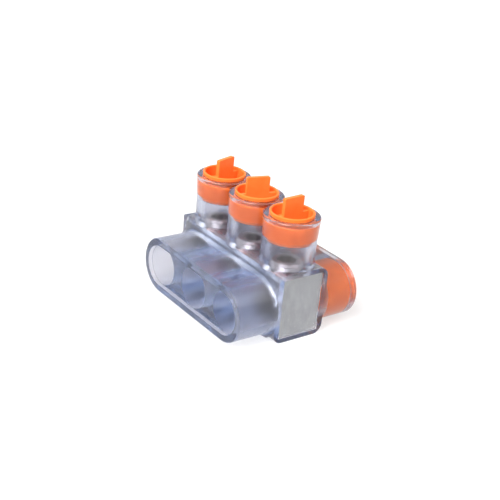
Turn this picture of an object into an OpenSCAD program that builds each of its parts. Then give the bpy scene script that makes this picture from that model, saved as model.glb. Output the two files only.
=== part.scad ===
// Insulated multi-tap connector: an aluminium block with three wire bores and
// three set screws, in a clear moulded housing with removable orange plugs.
// X runs along the row of ports, Y along the wires, Z up from the resting face.

/* [Block] */
// Distance between the axes of neighbouring ports
pitch = 25.4; // [25.2:0.1:28]
// Distance from the axis of an end port to that end of the block
block_end = 10.8; // [10:0.1:14]
// Depth of the block along the wires
block_d = 21; // [19:0.2:26]
// Height of the block
block_h = 27.6; // [26.4:0.2:32]
// Radius of the block's long edges
block_edge_r = 0.8; // [0.4:0.1:1.4]
// Diameter of a wire bore
wire_bore_d = 15.2; // [12:0.2:15.6]
// Height of the wire bores' axis above the bottom of the block
wire_axis_h = 11.6; // [11.2:0.1:12.4]
// Metal left below a set screw's hole, which lets the screw down to a thin conductor
screw_hole_floor = 8.4; // [7.4:0.2:8.4]

/* [Set screws] */
// Diameter over the thread of a set screw
screw_d = 15; // [13.6:0.1:16]
// Length of a set screw
screw_l = 11.6; // [10:0.2:12]
// How far a set screw stands out of the block when backed off
screw_stand = 3.6; // [3:0.2:5]
// Hex socket, across flats
hex_af = 7.9; // [6:0.1:9]
// Depth of the hex socket
hex_depth = 7; // [4:0.5:8]
// Chamfer at both ends of a set screw
screw_chamfer = 0.9; // [0.4:0.1:1.2]

/* [Housing] */
// Wall in front of and behind the block
side_wall = 2.7; // [2:0.1:4]
// Wall above the block
top_wall = 2.2; // [1.6:0.1:3.4]
// Wall below the block
bottom_wall = 2.2; // [1.8:0.1:3.4]
// Wall at the closed end
closed_wall = 4.6; // [3:0.1:6]
// Radius of the housing's long edges
shell_edge_r = 4.5; // [3:0.1:5]
// Radius of the closed end's edges
closed_edge_r = 6; // [4:0.1:7]
// How far a wire shroud reaches out from the block
shroud_reach = 21.8; // [18:0.2:26]
// Diameter of a port in the wire shroud
port_d = 18.8; // [18:0.1:19.4]
// Wall of the wire shroud round the ports
shroud_wall = 3.5; // [2.5:0.1:4]
// Rounding of the shroud's outer rim
shroud_rim_r = 0.9; // [0.4:0.1:1.4]
// Radius of the fillet where the wire shroud grows out of the housing
root_r = 2.5; // [1:0.1:3]
// Depth of the shared recess at the mouth of the ports
recess_depth = 2; // [1:0.1:3]
// How much further out than the ports the recess reaches
recess_step = 0.2; // [0.1:0.1:0.6]

/* [Towers] */
// Height of a tower above the top of the housing
tower_h = 21.8; // [18:0.1:26]
// Wall of a tower at its rim
tower_rim_wall = 2.55; // [2:0.05:2.6]
// How much narrower a tower is below its plug than at its rim, on the radius
tower_taper = 0.6; // [0.2:0.1:0.9]
// Flare at the foot of a tower, on the radius
tower_foot = 0.5; // [0.2:0.1:0.6]
// Rounding of a tower's rim
tower_rim_r = 0.8; // [0.3:0.1:1]
// Gap round a set screw inside its tower
screw_way = 0.7; // [0.2:0.05:0.8]

/* [Plugs] */
// Diameter of an access plug
plug_d = 19.7; // [19.2:0.1:20]
// How deep an access plug sits in its tower
plug_depth = 11.1; // [8:0.1:14]
// Clearance round every plug
plug_clear = 0.1; // [0.05:0.01:0.15]
// Height of the groove round a plug below its ring
groove_h = 2.3; // [1:0.1:3]
// Depth of the groove round a plug
groove_depth = 0.5; // [0.3:0.05:0.6]
// How deep a port plug sits in its port
port_plug_depth = 16.5; // [12:0.1:18]
// How far the ring of a plug stands out
ring_h = 1.45; // [0.8:0.05:3]
// Wall of the ring and of the skirt
plug_wall = 1.05; // [1:0.05:1.6]
// Depth of the cup inside the ring
cup_depth = 5; // [3:0.1:6]
// Thickness of a plug's floor
plug_floor = 1.4; // [1:0.1:2]
// Width of the grip tab
grip_w = 10.8; // [8:0.1:12]
// Thickness of the grip tab
grip_t = 1.7; // [1.2:0.1:2.4]
// How far the grip tab stands above the ring
grip_h = 6.4; // [4:0.1:9]
// Rounding of the grip tab's corners
grip_r = 0.6; // [0.4:0.1:3]
// Turn of each access plug's grip tab from the direction of the wires
plug_turn = [17, -14, 4]; // [-90:1:90]
// Turn of each port plug's grip tab from upright
port_plug_turn = [28, -8, -28]; // [-90:1:90]

/* [End cover] */
// Thickness of the cover over the open end
cover_t = 1.5; // [1:0.1:2.5]
// How far the cover lies inside the housing's end
cover_inset = 0.3; // [0.1:0.1:0.8]
// Clearance round the block and the cover
fit_clear = 0.12; // [0.05:0.01:0.2]
// Clearance round the thread of a set screw
thread_clear = 0.05; // [0.02:0.01:0.1]

/* [Hidden] */
ports = 3;
eps = 0.01;
$fn = 96;

// The block
block_l = (ports - 1) * pitch + 2 * block_end;
block_z0 = bottom_wall;
block_z1 = block_z0 + block_h;
wire_z = block_z0 + wire_axis_h;
screw_r = screw_d / 2;
screw_top = block_z1 + screw_stand;

// The housing's shell
shell_y = block_d / 2 + side_wall;
shell_z1 = block_z1 + top_wall;
shell_x0 = -block_l / 2 - closed_wall;
cover_x0 = block_l / 2 + fit_clear;
shell_x1 = cover_x0 + cover_t + cover_inset;

// The wire shroud
port_r = port_d / 2;
shroud_r = port_r + shroud_wall;
shroud_y = block_d / 2 + shroud_reach;
recess_r = port_r + recess_step;

// Where the shroud's root meets the round edge of the housing
root_sink = 0.03;
root_rise = wire_z + shroud_r + root_r - shell_z1 + shell_edge_r;
root_span = sqrt(pow(shell_edge_r + root_r, 2) - pow(root_rise, 2)) - root_sink;
root_y = shell_y - shell_edge_r + root_span;
root_share = root_r / (shell_edge_r + root_r);
root_end_r = shroud_r + root_r - root_share * root_rise;
root_end_y = root_y - root_share * root_span;

// The towers
plug_r = plug_d / 2;
rim_bore_r = plug_r + plug_clear;
rim_r = rim_bore_r + tower_rim_wall;
waist_r = rim_r - tower_taper;
foot_r = waist_r + tower_foot;
screw_way_r = screw_r + screw_way;
rim_z = shell_z1 + tower_h;
shoulder_z = rim_z - plug_depth - plug_clear;
flare_h = 2.2;
foot_arc_r = (pow(flare_h, 2) + pow(tower_foot, 2)) / (2 * tower_foot);

// The plugs
port_plug_r = port_r - plug_clear;
groove_z = 0.5;
groove_slope = 0.4;
edge_break = 0.3;
lead_in = 0.8;
grip_web_drop = 1.2;

function port_x(i) = (i - (ports - 1) / 2) * pitch;

// A rectangle with round corners, standing on the X axis
module round_rect(w, h, r) {
    translate([-w / 2, r]) square([w, h - 2 * r]);
    translate([-w / 2 + r, 0]) square([w - 2 * r, h]);
    for (x = [-1, 1], y = [r, h - r])
        translate([x * (w / 2 - r), y]) circle(r);
}

// Places children along Y with their Z axis turned to point along +Y
module along_y(x, z) {
    translate([x, 0, z]) rotate([-90, 0, 0]) children();
}

// One end of the shroud: a drum across the wires with rounded rims
module shroud_end(x) {
    along_y(x, wire_z)
        rotate_extrude()
            difference() {
                translate([0, -shroud_y]) square([shroud_r, 2 * shroud_y]);
                for (s = [-1, 1]) rim_notch(s);
            }
}

// The corner that the rounded rim takes away from a square one
module rim_notch(s) {
    difference() {
        translate([shroud_r - shroud_rim_r, s > 0 ? shroud_y - shroud_rim_r : -shroud_y - eps])
            square([shroud_rim_r + eps, shroud_rim_r + eps]);
        translate([shroud_r - shroud_rim_r, s * (shroud_y - shroud_rim_r)])
            circle(shroud_rim_r);
    }
}

// The flat middle of the shroud, between the two drums
module shroud_middle() {
    span = port_x(ports - 1) - port_x(0);
    translate([-span / 2, 0, wire_z - shroud_r])
        rotate([90, 0, 90])
            linear_extrude(span)
                round_rect(2 * shroud_y, 2 * shroud_r, shroud_rim_r);
}

// Section of the shroud's root, out from its middle plane: an arc that runs from the
// shroud into the round edge of the housing
module root_section() {
    difference() {
        polygon([[0, block_d / 2], [root_end_r, block_d / 2], [root_end_r, root_end_y],
            [shroud_r + root_r, root_y], [0, root_y]]);
        translate([shroud_r + root_r, root_y]) circle(root_r);
    }
}

// The shroud's root on both sides, trimmed at its ends and kept off the underside
module root() {
    span = port_x(ports - 1) - port_x(0);
    intersection() {
        for (t = [0, 180])
            rotate([0, 0, t]) {
                for (x = [-span / 2, span / 2])
                    along_y(x, wire_z) rotate_extrude() root_section();
                translate([span / 2, 0, wire_z])
                    rotate([0, -90, 0]) linear_extrude(span) root_section();
            }
        translate([port_x(0) - shroud_r, -root_y - 1, wire_z - shroud_r])
            cube([shell_x1 - port_x(0) + shroud_r, 2 * root_y + 2, shell_z1]);
    }
}

// The box round the block, open at its near end and round at its closed end
module shell() {
    len = shell_x1 - shell_x0;
    big = 2 * len;
    intersection() {
        translate([shell_x0, 0, 0])
            rotate([90, 0, 90])
                linear_extrude(len)
                    round_rect(2 * shell_y, shell_z1, shell_edge_r);
        translate([shell_x0 + big / 2, -shell_y, -eps])
            linear_extrude(shell_z1 + 2 * eps)
                round_rect(big, 2 * shell_y, closed_edge_r);
        translate([shell_x0 + big / 2, shell_y + eps, 0])
            rotate([90, 0, 0])
                linear_extrude(2 * shell_y + 2 * eps)
                    round_rect(big, shell_z1, closed_edge_r);
    }
}

// One screw tower: a waisted tube with a rounded rim and a flared foot
module tower(x) {
    translate([x, 0, 0])
        rotate_extrude()
            difference() {
                polygon([[0, block_z1], [foot_r, block_z1], [foot_r, shell_z1 + flare_h],
                    [waist_r, shell_z1 + flare_h], [waist_r, shoulder_z],
                    [rim_r, rim_z - tower_rim_r], [rim_r, rim_z], [0, rim_z]]);
                translate([waist_r + foot_arc_r, shell_z1 + flare_h]) circle(foot_arc_r);
                difference() {
                    translate([rim_r - tower_rim_r, rim_z - tower_rim_r])
                        square(tower_rim_r + eps);
                    translate([rim_r - tower_rim_r, rim_z - tower_rim_r])
                        circle(tower_rim_r);
                }
            }
}

// The way down a tower: a wide seat for the plug and a narrower one for the key
module tower_bore(x) {
    translate([x, 0, block_z1 - eps]) cylinder(r = screw_way_r, h = rim_z - block_z1);
    translate([x, 0, shoulder_z]) cylinder(r = rim_bore_r, h = plug_depth + 1);
}

// The shared recess at one face of the shroud
module recess(s) {
    span = port_x(ports - 1) - port_x(0);
    translate([0, s > 0 ? shroud_y - recess_depth : -shroud_y - 1, 0]) {
        for (x = [-span / 2, span / 2])
            along_y(x, wire_z) cylinder(r = recess_r, h = recess_depth + 1);
        translate([-span / 2, 0, wire_z - recess_r])
            cube([span, recess_depth + 1, 2 * recess_r]);
    }
}

// The space for the block and its end cover
module pocket() {
    translate([-block_l / 2 - fit_clear, -block_d / 2 - fit_clear, block_z0 - fit_clear])
        cube([block_l + cover_t + 3, block_d + 2 * fit_clear, block_h + 2 * fit_clear]);
}

module housing() {
    color([0.72, 0.78, 0.95, 0.5])
        difference() {
            union() {
                shell();
                shroud_middle();
                root();
                for (x = [port_x(0), port_x(ports - 1)]) shroud_end(x);
                for (i = [0:ports - 1]) tower(port_x(i));
            }
            pocket();
            for (s = [-1, 1]) recess(s);
            for (i = [0:ports - 1]) {
                tower_bore(port_x(i));
                translate([0, -shroud_y - 1, 0])
                    along_y(port_x(i), wire_z) cylinder(r = port_r, h = 2 * shroud_y + 2);
            }
        }
}

module end_cover() {
    color([0.8, 0.86, 0.98, 0.5])
        translate([cover_x0, -block_d / 2, block_z0])
            cube([cover_t, block_d, block_h]);
}

module block() {
    color([0.70, 0.71, 0.72])
        difference() {
            translate([-block_l / 2, 0, block_z0])
                rotate([90, 0, 90])
                    linear_extrude(block_l)
                        round_rect(block_d, block_h, block_edge_r);
            for (i = [0:ports - 1]) {
                translate([0, -block_d / 2 - 1, 0])
                    along_y(port_x(i), wire_z) cylinder(d = wire_bore_d, h = block_d + 2);
                translate([port_x(i), 0, block_z0 + screw_hole_floor])
                    cylinder(r = screw_r + thread_clear, h = block_h);
            }
        }
}

module set_screw(i) {
    c = screw_chamfer;
    color([0.80, 0.80, 0.80])
        translate([port_x(i), 0, screw_top])
            difference() {
                rotate_extrude()
                    polygon([[0, -screw_l], [screw_r - c, -screw_l], [screw_r, c - screw_l],
                        [screw_r, -c], [screw_r - c, 0], [0, 0]]);
                translate([0, 0, -hex_depth])
                    cylinder(d = hex_af / cos(30), h = hex_depth + 1, $fn = 6);
            }
}

// A plug of radius r whose mouth level is z = 0 and whose skirt goes down by depth
module stopper(r, depth) {
    cup_z = ring_h - cup_depth;
    inner = r - plug_wall;
    rotate_extrude()
        polygon([[0, cup_z], [inner, cup_z], [inner, ring_h - edge_break],
            [inner + edge_break, ring_h], [r - edge_break, ring_h], [r, ring_h - edge_break],
            [r, -groove_z], [r - groove_depth, -groove_z - groove_slope],
            [r - groove_depth, groove_slope - groove_z - groove_h], [r, -groove_z - groove_h],
            [r, 2 * lead_in - depth], [r - lead_in / 2, -depth], [inner, -depth],
            [inner, cup_z - plug_floor], [0, cup_z - plug_floor]]);
}

// The tab that a hand pulls a plug by, with a low web out to the ring
module grip(r) {
    floor_z = ring_h - cup_depth - eps;
    top_z = ring_h + grip_h;
    web_w = 2 * (r - plug_wall / 2);
    translate([0, grip_t / 2, floor_z])
        rotate([90, 0, 0])
            linear_extrude(grip_t) {
                translate([-grip_w / 2, 0]) square([grip_w, top_z - floor_z - grip_r]);
                translate([-grip_w / 2 + grip_r, 0]) square([grip_w - 2 * grip_r, top_z - floor_z]);
                for (s = [-1, 1])
                    translate([s * (grip_w / 2 - grip_r), top_z - floor_z - grip_r]) circle(grip_r);
                translate([-web_w / 2, 0]) square([web_w, cup_depth - grip_web_drop]);
            }
}

module access_plug(i) {
    color([1.0, 0.42, 0.16])
        translate([port_x(i), 0, rim_z]) {
            stopper(plug_r, plug_depth);
            rotate([0, 0, 90 + plug_turn[i]]) grip(plug_r);
        }
}

module port_plug(i) {
    color([1.0, 0.42, 0.16])
        translate([port_x(i), shroud_y, wire_z])
            rotate([-90, 0, 0]) {
                stopper(port_plug_r, port_plug_depth);
                rotate([0, 0, 90 + port_plug_turn[i]]) grip(port_plug_r);
            }
}

housing();
end_cover();
block();
for (i = [0:ports - 1]) {
    set_screw(i);
    access_plug(i);
    port_plug(i);
}
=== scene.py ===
"""Looks of the insulated multi-tap connector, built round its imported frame."""

import math

import bmesh
import bpy
from mathutils import Matrix, Vector


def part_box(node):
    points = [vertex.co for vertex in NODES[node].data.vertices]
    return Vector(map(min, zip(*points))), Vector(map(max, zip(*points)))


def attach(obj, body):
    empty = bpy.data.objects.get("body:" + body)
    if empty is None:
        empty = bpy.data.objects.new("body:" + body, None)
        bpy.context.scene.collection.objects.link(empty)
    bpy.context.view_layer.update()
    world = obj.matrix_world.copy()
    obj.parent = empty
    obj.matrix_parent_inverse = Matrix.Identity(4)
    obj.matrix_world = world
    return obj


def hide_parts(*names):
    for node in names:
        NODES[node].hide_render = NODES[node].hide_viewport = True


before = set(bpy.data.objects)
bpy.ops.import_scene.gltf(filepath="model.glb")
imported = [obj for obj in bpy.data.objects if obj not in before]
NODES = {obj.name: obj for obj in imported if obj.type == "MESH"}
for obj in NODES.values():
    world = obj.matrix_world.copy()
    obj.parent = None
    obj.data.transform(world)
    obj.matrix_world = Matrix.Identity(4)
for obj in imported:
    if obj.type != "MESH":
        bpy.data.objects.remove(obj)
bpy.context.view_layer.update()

MM = 0.001
NUMBERS = (1, 2, 3)

# Camera, as fitted to the photograph. Angles are in degrees.
CAMERA_TARGET = Vector((-1.557, 0.465, 25.579)) * MM
CAMERA_DISTANCE = 455.68 * MM
CAMERA_AZIMUTH = 51.89
CAMERA_ELEVATION = 24.19
CAMERA_ROLL = 5.70
CAMERA_LENS = 72.35
CAMERA_SENSOR = 36
CAMERA_CLIP = 10 * MM

# Sizes of the frame that the looks need
WIRE_Z = 13.8 * MM
BORE_R = 7.6 * MM
PORT_R = 9.4 * MM
SEAT_R = 9.95 * MM
SEAT_Z = 42.5 * MM
SAME = 0.03 * MM

# The housing's grip on its plugs
PRESS = 0.2 * MM
HOUSING_WELD = 0.001 * MM

# Set screws
THREAD_PITCH = 1.27 * MM
THREAD_DEPTH = 0.7 * MM
THREAD_ROWS = 88
SCREW_CHAMFER = 0.9 * MM
SCREW_WELD = 0.002 * MM
HEX_AF = 7.9 * MM
HEX_CORNER_R = HEX_AF / 2 / math.cos(math.radians(30))
HEX_DEPTH = 7.0 * MM
TURN_POINTS = 96
SOFT_EDGE = math.radians(32)

# Finishes
CLEAR_IOR = 1.52
ORANGE_IOR = 1.2
ROUGH_SPREAD = 0.4
METAL_ROUGH_SPREAD = 0.08
STREAK_SHADE = 0.75

# Studio
WORLD_LEVEL = 0.42
FLOOR_HALF = 1.5
FLOOR_DROP = 0.2 * MM
FLOOR_MATTE = (0.50, 0.50, 0.50)
FLOOR_SEEN = (0.9, 0.9, 0.9)
FLOOR_GLOW = 0.62
LAMP_DISTANCE = 0.8
WHITE = (1, 1, 1)


def port_x(number):
    """Where the row's ports and towers stand along X."""
    low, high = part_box(f"set_screw_{number}")
    return (low.x + high.x) / 2


class Tree:
    """Short names for building the node tree of a material, a world or a modifier."""

    def __init__(self, tree):
        self.nodes = tree.nodes
        self.links = tree.links
        self.nodes.clear()

    def add(self, kind, **inputs):
        """A new node, with values on its named inputs."""
        node = self.nodes.new(kind)
        for name, value in inputs.items():
            node.inputs[name.replace("_", " ")].default_value = value
        return node

    def link(self, output, node, socket):
        self.links.new(output, node.inputs[socket])

    def maths(self, operation, *terms):
        """What a Math node gives for numbers and other nodes' outputs."""
        node = self.add("ShaderNodeMath")
        node.operation = operation
        for socket, term in zip(node.inputs, terms):
            if isinstance(term, (int, float)):
                socket.default_value = term
            else:
                self.links.new(term, socket)
        return node.outputs[0]

    def between(self, value, low, high):
        """A value from 0 to 1, spread over the range from low to high."""
        node = self.add("ShaderNodeMapRange", To_Min=low, To_Max=high)
        self.link(value, node, "Value")
        return node.outputs["Result"]

    def colours(self, value, first, last):
        """Two pairs of position and colour, that a value from 0 to 1 runs through."""
        node = self.add("ShaderNodeValToRGB")
        for stop, (position, colour) in zip(node.color_ramp.elements, (first, last)):
            stop.position = position
            stop.color = (*colour, 1)
        self.link(value, node, "Fac")
        return node.outputs["Color"]

    def place(self):
        """Object coordinates, in metres."""
        return self.add("ShaderNodeTexCoord").outputs["Object"]

    def noise(self, scale, detail, stretch=(1, 1, 1)):
        """Noise on Object coordinates, at so many features a metre."""
        spread = self.add("ShaderNodeMapping", Scale=stretch)
        texture = self.add("ShaderNodeTexNoise", Scale=scale, Detail=detail)
        self.link(self.place(), spread, "Vector")
        self.link(spread.outputs["Vector"], texture, "Vector")
        return texture.outputs["Fac"]

    def near_wires(self, radius):
        """1 within a radius of the axes of the three wires, by Object coordinates."""
        split = self.add("ShaderNodeSeparateXYZ")
        self.link(self.place(), split, "Vector")
        half_pitch = (port_x(2) - port_x(1)) / 2
        across = self.maths("WRAP", split.outputs["X"], half_pitch, -half_pitch)
        above = self.maths("SUBTRACT", split.outputs["Z"], WIRE_Z)
        squares = (self.maths("MULTIPLY", side, side) for side in (across, above))
        return self.maths("LESS_THAN", self.maths("ADD", *squares), (radius + SAME) ** 2)

    def bump(self, height, shader, distance):
        node = self.add("ShaderNodeBump", Distance=distance)
        self.link(height, node, "Height")
        self.link(node.outputs["Normal"], shader, "Normal")

    def seen(self):
        """1 for a ray from the camera, from gloss or from clear plastic, else 0."""
        path = self.add("ShaderNodeLightPath")
        gloss_or_clear = self.maths(
            "MAXIMUM", path.outputs["Is Glossy Ray"], path.outputs["Is Transmission Ray"])
        return self.maths("MAXIMUM", path.outputs["Is Camera Ray"], gloss_or_clear)


def shaded(name, **inputs):
    """A material with its tree, its one Principled shader and its output."""
    material = bpy.data.materials.new(name)
    material.use_nodes = True
    tree = Tree(material.node_tree)
    out = tree.add("ShaderNodeOutputMaterial")
    skin = tree.add("ShaderNodeBsdfPrincipled", **inputs)
    tree.link(skin.outputs["BSDF"], out, "Surface")
    return material, tree, skin, out


def clear_plastic(name, skin_tint, clearness, body_tint, density, waviness, roughness,
                  in_ports=0.0):
    """Clear moulding, with faint waves on its skin and a tint that deepens with thickness.

    In the ports its walls are rougher by in_ports.
    """
    material, tree, skin, out = shaded(
        name, Base_Color=(*skin_tint, 1), IOR=CLEAR_IOR, Transmission_Weight=clearness)
    tree.bump(tree.noise(scale=90, detail=2), skin, waviness)
    rough = tree.between(tree.noise(scale=700, detail=3),
                         roughness * (1 - ROUGH_SPREAD), roughness * (1 + ROUGH_SPREAD))
    if in_ports:
        rough = tree.maths("MULTIPLY_ADD", tree.near_wires(PORT_R), in_ports, rough)
    tree.link(rough, skin, "Roughness")
    body = tree.add("ShaderNodeVolumeAbsorption", Color=(*body_tint, 1), Density=density)
    tree.link(body.outputs["Volume"], out, "Volume")
    return material


def orange_plastic():
    """Satin moulded plug, with soft mottling of colour and a fine grain in its gloss."""
    material, tree, skin, _ = shaded("orange_plug_plastic", IOR=ORANGE_IOR)
    shade = tree.colours(tree.noise(scale=260, detail=3),
                         (0.0, (0.97, 0.18, 0.03)), (1.0, (1.0, 0.235, 0.046)))
    tree.link(shade, skin, "Base Color")
    tree.link(tree.between(tree.noise(scale=1400, detail=4), 0.30, 0.46), skin, "Roughness")
    tree.bump(tree.noise(scale=2600, detail=3), skin, 0.02 * MM)
    return material


def aluminium(name, shade, roughness, stretch, grain, painted_bore_shade=1.0):
    """Bare aluminium, with fine streaks along the way that it was cut or turned.

    In the wire bores its shade is multiplied by the last argument, which paints shade onto the
    bore walls.
    """
    material, tree, skin, _ = shaded(name, Metallic=1.0)
    streaks = tree.noise(scale=500, detail=5, stretch=stretch)
    dark = [part * STREAK_SHADE for part in shade]
    tone = tree.colours(streaks, (0.35, dark), (0.65, shade))
    # Painted shade: the walls of the wire bores are darkened.
    if painted_bore_shade < 1:
        bore_shade_mix = tree.add("ShaderNodeMixRGB", Color2=(painted_bore_shade, painted_bore_shade, painted_bore_shade, 1))
        bore_shade_mix.blend_type = "MULTIPLY"
        tree.link(tree.near_wires(BORE_R), bore_shade_mix, "Fac")
        tree.link(tone, bore_shade_mix, "Color1")
        tone = bore_shade_mix.outputs["Color"]
    tree.link(tone, skin, "Base Color")
    rough = tree.between(streaks, roughness - METAL_ROUGH_SPREAD, roughness + METAL_ROUGH_SPREAD)
    tree.link(rough, skin, "Roughness")
    tree.bump(streaks, skin, grain)
    return material


def put_on(piece, material):
    """Gives a piece its one material, in every slot that its faces use."""
    if not piece.data.materials:
        piece.data.materials.append(material)
    for index in range(len(piece.data.materials)):
        piece.data.materials[index] = material


def soften(bm):
    """Smooth shading, broken only at edges that are sharp on the real piece."""
    for face in bm.faces:
        face.smooth = True
    for edge in bm.edges:
        edge.smooth = edge.calc_face_angle(0) < SOFT_EDGE


def make_piece(name, bm):
    """A piece at the origin, made of a bmesh, which is freed."""
    mesh = bpy.data.meshes.new(name)
    bm.to_mesh(mesh)
    bm.free()
    piece = bpy.data.objects.new(name, mesh)
    bpy.context.scene.collection.objects.link(piece)
    return piece


def clear_housing(material):
    """The moulding, with its plug seats drawn in onto the plugs, which it grips."""
    bm = bmesh.new()
    bm.from_mesh(NODES["housing"].data)
    bmesh.ops.remove_doubles(bm, verts=bm.verts, dist=HOUSING_WELD)
    for number in NUMBERS:
        x = port_x(number)
        for vertex in bm.verts:
            across = Vector((vertex.co.x - x, vertex.co.y))
            if vertex.co.z > SEAT_Z and abs(across.length - SEAT_R) < SAME:
                across *= (SEAT_R - PRESS) / across.length
                vertex.co.x, vertex.co.y = x + across.x, across.y
            around = Vector((vertex.co.x - x, vertex.co.z - WIRE_Z))
            if vertex.co.y > 0 and abs(around.length - PORT_R) < SAME:
                around *= (PORT_R - PRESS) / around.length
                vertex.co.x, vertex.co.z = x + around.x, WIRE_Z + around.y
    soften(bm)
    piece = make_piece("clear_housing", bm)
    put_on(piece, material)
    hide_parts("housing")
    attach(piece, "connector")


def hexagon_r(angle):
    """Distance from the middle of the hex socket to its wall."""
    sixth = math.radians(60)
    return HEX_AF / 2 / math.cos((angle % sixth) - sixth / 2)


def screw_ends(outer_r, top, bottom):
    """The two end faces of a set screw with its hex socket, open at the side between them."""
    bm = bmesh.new()
    edge_r = outer_r - SCREW_CHAMFER
    rows = ((hexagon_r, top - HEX_DEPTH), (hexagon_r, top), (edge_r, top), (edge_r, bottom))
    rings = []
    for radius, z in rows:
        ring = []
        for k in range(TURN_POINTS):
            a = 2 * math.pi * k / TURN_POINTS
            r = radius(a) if callable(radius) else radius
            ring.append(bm.verts.new((r * math.cos(a), r * math.sin(a), z)))
        rings.append(ring)
    socket_floor, socket_mouth, top_edge, bottom_edge = rings
    for inner, outer in ((socket_floor, socket_mouth), (socket_mouth, top_edge)):
        for k in range(TURN_POINTS):
            j = (k + 1) % TURN_POINTS
            bm.faces.new((inner[k], outer[k], outer[j], inner[j]))
    bm.faces.new(socket_floor)
    bm.faces.new(list(reversed(bottom_edge)))
    return bm


def thread_group():
    """Geometry Nodes: a threaded side between two radii, joined to the piece's own end faces."""
    group = bpy.data.node_groups.new("screw_thread", "GeometryNodeTree")
    sockets = [("Geometry", "Geometry")]
    for size in ("Crest radius", "Depth", "Pitch", "Length", "Chamfer", "Bottom"):
        sockets.append((size, "Float"))
    sockets += [("Rows", "Int"), ("Material", "Material")]
    for name, kind in sockets:
        group.interface.new_socket(name, in_out="INPUT", socket_type=f"NodeSocket{kind}")
    group.interface.new_socket("Geometry", in_out="OUTPUT", socket_type="NodeSocketGeometry")

    tree = Tree(group)
    maths = tree.maths
    given = tree.add("NodeGroupInput").outputs
    grid = tree.add("GeometryNodeMeshGrid", Size_X=1, Size_Y=1, Vertices_X=TURN_POINTS + 1)
    tree.link(given["Rows"], grid, "Vertices Y")
    split = tree.add("ShaderNodeSeparateXYZ")
    tree.link(tree.add("GeometryNodeInputPosition").outputs["Position"], split, "Vector")
    turn = maths("ADD", split.outputs["X"], 0.5)
    rise = maths("MULTIPLY", maths("ADD", split.outputs["Y"], 0.5), given["Length"])

    phase = maths("FRACT", maths("SUBTRACT", maths("DIVIDE", rise, given["Pitch"]), turn))
    flank = maths("ABSOLUTE", maths("SUBTRACT", maths("MULTIPLY", phase, 2), 1))
    groove = maths("MULTIPLY", flank, given["Depth"])
    threaded = maths("SUBTRACT", given["Crest radius"], groove)
    to_end = maths("MINIMUM", rise, maths("SUBTRACT", given["Length"], rise))
    end_r = maths("SUBTRACT", given["Crest radius"], given["Chamfer"])
    radius = maths("MINIMUM", threaded, maths("ADD", end_r, to_end))

    angle = maths("MULTIPLY", turn, 2 * math.pi)
    join = tree.add("ShaderNodeCombineXYZ")
    tree.link(maths("MULTIPLY", radius, maths("COSINE", angle)), join, "X")
    tree.link(maths("MULTIPLY", radius, maths("SINE", angle)), join, "Y")
    tree.link(maths("ADD", rise, given["Bottom"]), join, "Z")
    wrap = tree.add("GeometryNodeSetPosition")
    tree.link(grid.outputs["Mesh"], wrap, "Geometry")
    tree.link(join.outputs["Vector"], wrap, "Position")

    both = tree.add("GeometryNodeJoinGeometry")
    tree.link(given["Geometry"], both, "Geometry")
    tree.link(wrap.outputs["Geometry"], both, "Geometry")
    weld = tree.add("GeometryNodeMergeByDistance", Distance=SCREW_WELD)
    tree.link(both.outputs["Geometry"], weld, "Geometry")
    real = tree.add("GeometryNodeRealizeInstances")
    tree.link(weld.outputs["Geometry"], real, "Geometry")
    paint = tree.add("GeometryNodeSetMaterial")
    tree.link(real.outputs["Geometry"], paint, "Geometry")
    tree.link(given["Material"], paint, "Material")
    tree.link(paint.outputs["Geometry"], tree.add("NodeGroupOutput"), "Geometry")
    return group


def set_inputs(modifier, values):
    """Sets a Geometry Nodes modifier's inputs by their sockets' identifiers."""
    for item in modifier.node_group.interface.items_tree:
        if item.in_out == "INPUT" and item.name in values:
            modifier[item.identifier] = values[item.name]


def applied(piece):
    """Turns what a piece's modifiers make into its plain mesh."""
    graph = bpy.context.evaluated_depsgraph_get()
    mesh = bpy.data.meshes.new_from_object(piece.evaluated_get(graph))
    piece.modifiers.clear()
    piece.data = mesh


def threaded_screw(number, group, material, socket_shade_material):
    """A set screw with its thread and hex socket, in place of the plain one."""
    low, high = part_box(f"set_screw_{number}")
    outer_r = (high.x - low.x) / 2
    piece = make_piece(f"threaded_screw_{number}", screw_ends(outer_r, high.z, low.z))
    modifier = piece.modifiers.new("thread", "NODES")
    modifier.node_group = group
    set_inputs(modifier, {
        "Crest radius": outer_r,
        "Depth": THREAD_DEPTH,
        "Pitch": THREAD_PITCH,
        "Length": high.z - low.z,
        "Chamfer": SCREW_CHAMFER,
        "Bottom": low.z,
        "Rows": THREAD_ROWS,
        "Material": material,
    })
    applied(piece)
    bm = bmesh.new()
    bm.from_mesh(piece.data)
    bmesh.ops.remove_doubles(bm, verts=bm.verts, dist=SCREW_WELD)
    bmesh.ops.recalc_face_normals(bm, faces=bm.faces)
    # Faces in the hex socket take the second material, whose dark reddish brown is painted shade
    # and a painted reflection of the orange plug above.
    for face in bm.faces:
        middle = face.calc_center_median()
        within = math.hypot(middle.x, middle.y) < HEX_CORNER_R + SAME
        if within and middle.z > high.z - HEX_DEPTH - SAME:
            face.material_index = 1
    bmesh.ops.translate(bm, verts=bm.verts, vec=(port_x(number), 0, 0))
    soften(bm)
    bm.to_mesh(piece.data)
    bm.free()
    piece.data.materials.append(socket_shade_material)
    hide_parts(f"set_screw_{number}")
    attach(piece, f"set_screw_{number}")


def way_back(azimuth, elevation):
    """The way from the object to a viewer or lamp so many degrees round from the front and up."""
    a, e = math.radians(azimuth), math.radians(elevation)
    return Vector((math.sin(a) * math.cos(e), -math.cos(a) * math.cos(e), math.sin(e)))


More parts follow.
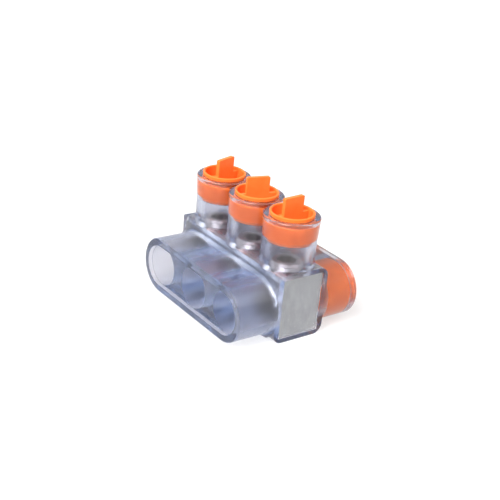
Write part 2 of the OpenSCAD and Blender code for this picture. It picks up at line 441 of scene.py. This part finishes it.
def camera():
    azimuth, roll = math.radians(CAMERA_AZIMUTH), math.radians(CAMERA_ROLL)
    back = way_back(CAMERA_AZIMUTH, CAMERA_ELEVATION)
    right = Vector((math.cos(azimuth), math.sin(azimuth), 0))
    up = back.cross(right)
    rolled_right = right * math.cos(roll) + up * math.sin(roll)
    rolled_up = up * math.cos(roll) - right * math.sin(roll)
    turn = Matrix((rolled_right, rolled_up, back)).transposed().to_4x4()
    data = bpy.data.cameras.new("camera")
    data.lens = CAMERA_LENS
    data.sensor_width = CAMERA_SENSOR
    data.clip_start = CAMERA_CLIP
    item = bpy.data.objects.new("camera", data)
    item.matrix_world = Matrix.Translation(CAMERA_TARGET + back * CAMERA_DISTANCE) @ turn
    bpy.context.scene.collection.objects.link(item)
    bpy.context.scene.camera = item


def studio_world():
    """White to the camera, gloss and clear plastic alike, and dimmer light for matte surfaces."""
    world = bpy.data.worlds.new("studio")
    world.use_nodes = True
    bpy.context.scene.world = world
    tree = Tree(world.node_tree)
    white = tree.add("ShaderNodeBackground", Color=(*WHITE, 1))
    tree.link(tree.between(tree.seen(), WORLD_LEVEL, 1.0), white, "Strength")
    out = tree.add("ShaderNodeOutputWorld")
    tree.link(white.outputs["Background"], out, "Surface")


def pale_floor():
    """White to the camera, gloss and clear plastic alike, with a little of the object's shadow."""
    bm = bmesh.new()
    bmesh.ops.create_grid(bm, x_segments=1, y_segments=1, size=FLOOR_HALF)
    bmesh.ops.translate(bm, verts=bm.verts, vec=(0, 0, -FLOOR_DROP))
    floor = make_piece("floor", bm)
    material = bpy.data.materials.new("white_floor")
    material.use_nodes = True
    tree = Tree(material.node_tree)
    seen = tree.seen()
    tone = tree.add("ShaderNodeMixRGB", Color1=(*FLOOR_MATTE, 1), Color2=(*FLOOR_SEEN, 1))
    tree.link(seen, tone, "Fac")
    matte = tree.add("ShaderNodeBsdfDiffuse")
    tree.link(tone.outputs["Color"], matte, "Color")
    glow = tree.add("ShaderNodeEmission", Color=(*WHITE, 1), Strength=1.0)
    mix = tree.add("ShaderNodeMixShader")
    tree.link(tree.between(seen, 0.0, FLOOR_GLOW), mix, 0)
    tree.link(matte.outputs["BSDF"], mix, 1)
    tree.link(glow.outputs["Emission"], mix, 2)
    out = tree.add("ShaderNodeOutputMaterial")
    tree.link(mix.outputs["Shader"], out, "Surface")
    put_on(floor, material)


def hang_lamp(name, kind, azimuth, elevation, power):
    """Hangs a lamp that shines at the object, and gives its data."""
    back = way_back(azimuth, elevation)
    data = bpy.data.lights.new(name, kind)
    data.energy = power
    lamp = bpy.data.objects.new(name, data)
    lamp.location = CAMERA_TARGET + back * LAMP_DISTANCE
    lamp.rotation_euler = (-back).to_track_quat("-Z", "Y").to_euler()
    bpy.context.scene.collection.objects.link(lamp)
    return data


pvc = clear_plastic(
    "clear_pvc_moulding", skin_tint=(0.74, 0.72, 0.76), clearness=0.993,
    body_tint=(0.37, 0.53, 0.755), density=48, waviness=0.12 * MM, roughness=0.20, in_ports=0.3)
sheet = clear_plastic(
    "clear_cover_sheet", skin_tint=(0.92, 0.93, 0.95), clearness=0.96,
    body_tint=(0.80, 0.82, 0.86), density=20, waviness=0.01 * MM, roughness=0.12)
orange = orange_plastic()
# The block's wire bores are painted darker, as shade on their walls.
block_metal = aluminium(
    "sawn_block_aluminium", shade=(0.38, 0.38, 0.385), roughness=0.55,
    stretch=(0.8, 1.2, 0.5), grain=0.05 * MM, painted_bore_shade=0.45)
screw_metal = aluminium(
    "turned_screw_aluminium", shade=(0.60, 0.57, 0.54), roughness=0.30,
    stretch=(1, 1, 14), grain=0.01 * MM)
# The hex socket's dark reddish brown is painted shade inside the socket, with a painted reflection
# of the orange plug above it.
socket_painted_shade = aluminium(
    "hex_socket_shade_and_orange_reflection", shade=(0.10, 0.035, 0.025), roughness=0.5,
    stretch=(1, 1, 8), grain=0.02 * MM)

camera()
clear_housing(pvc)
put_on(NODES["end_cover"], sheet)
put_on(NODES["block"], block_metal)
thread = thread_group()
for number in NUMBERS:
    threaded_screw(number, thread, screw_metal, socket_painted_shade)
    put_on(NODES[f"access_plug_{number}"], orange)
    put_on(NODES[f"port_plug_{number}"], orange)

pale_floor()
studio_world()
hang_lamp("lamp_over_left", "SUN", azimuth=20, elevation=45, power=4.0).angle = math.radians(36)
hang_lamp("lamp_left", "AREA", azimuth=-60, elevation=35, power=3.2).size = 0.8
hang_lamp("lamp_right", "AREA", azimuth=110, elevation=55, power=2.8).size = 0.7

view = bpy.context.scene.view_settings
view.view_transform = "Standard"
cycles = bpy.context.scene.cycles
cycles.max_bounces = 32
cycles.transmission_bounces = 32
cycles.glossy_bounces = 24
cycles.diffuse_bounces = 12
cycles.blur_glossy = 0.0
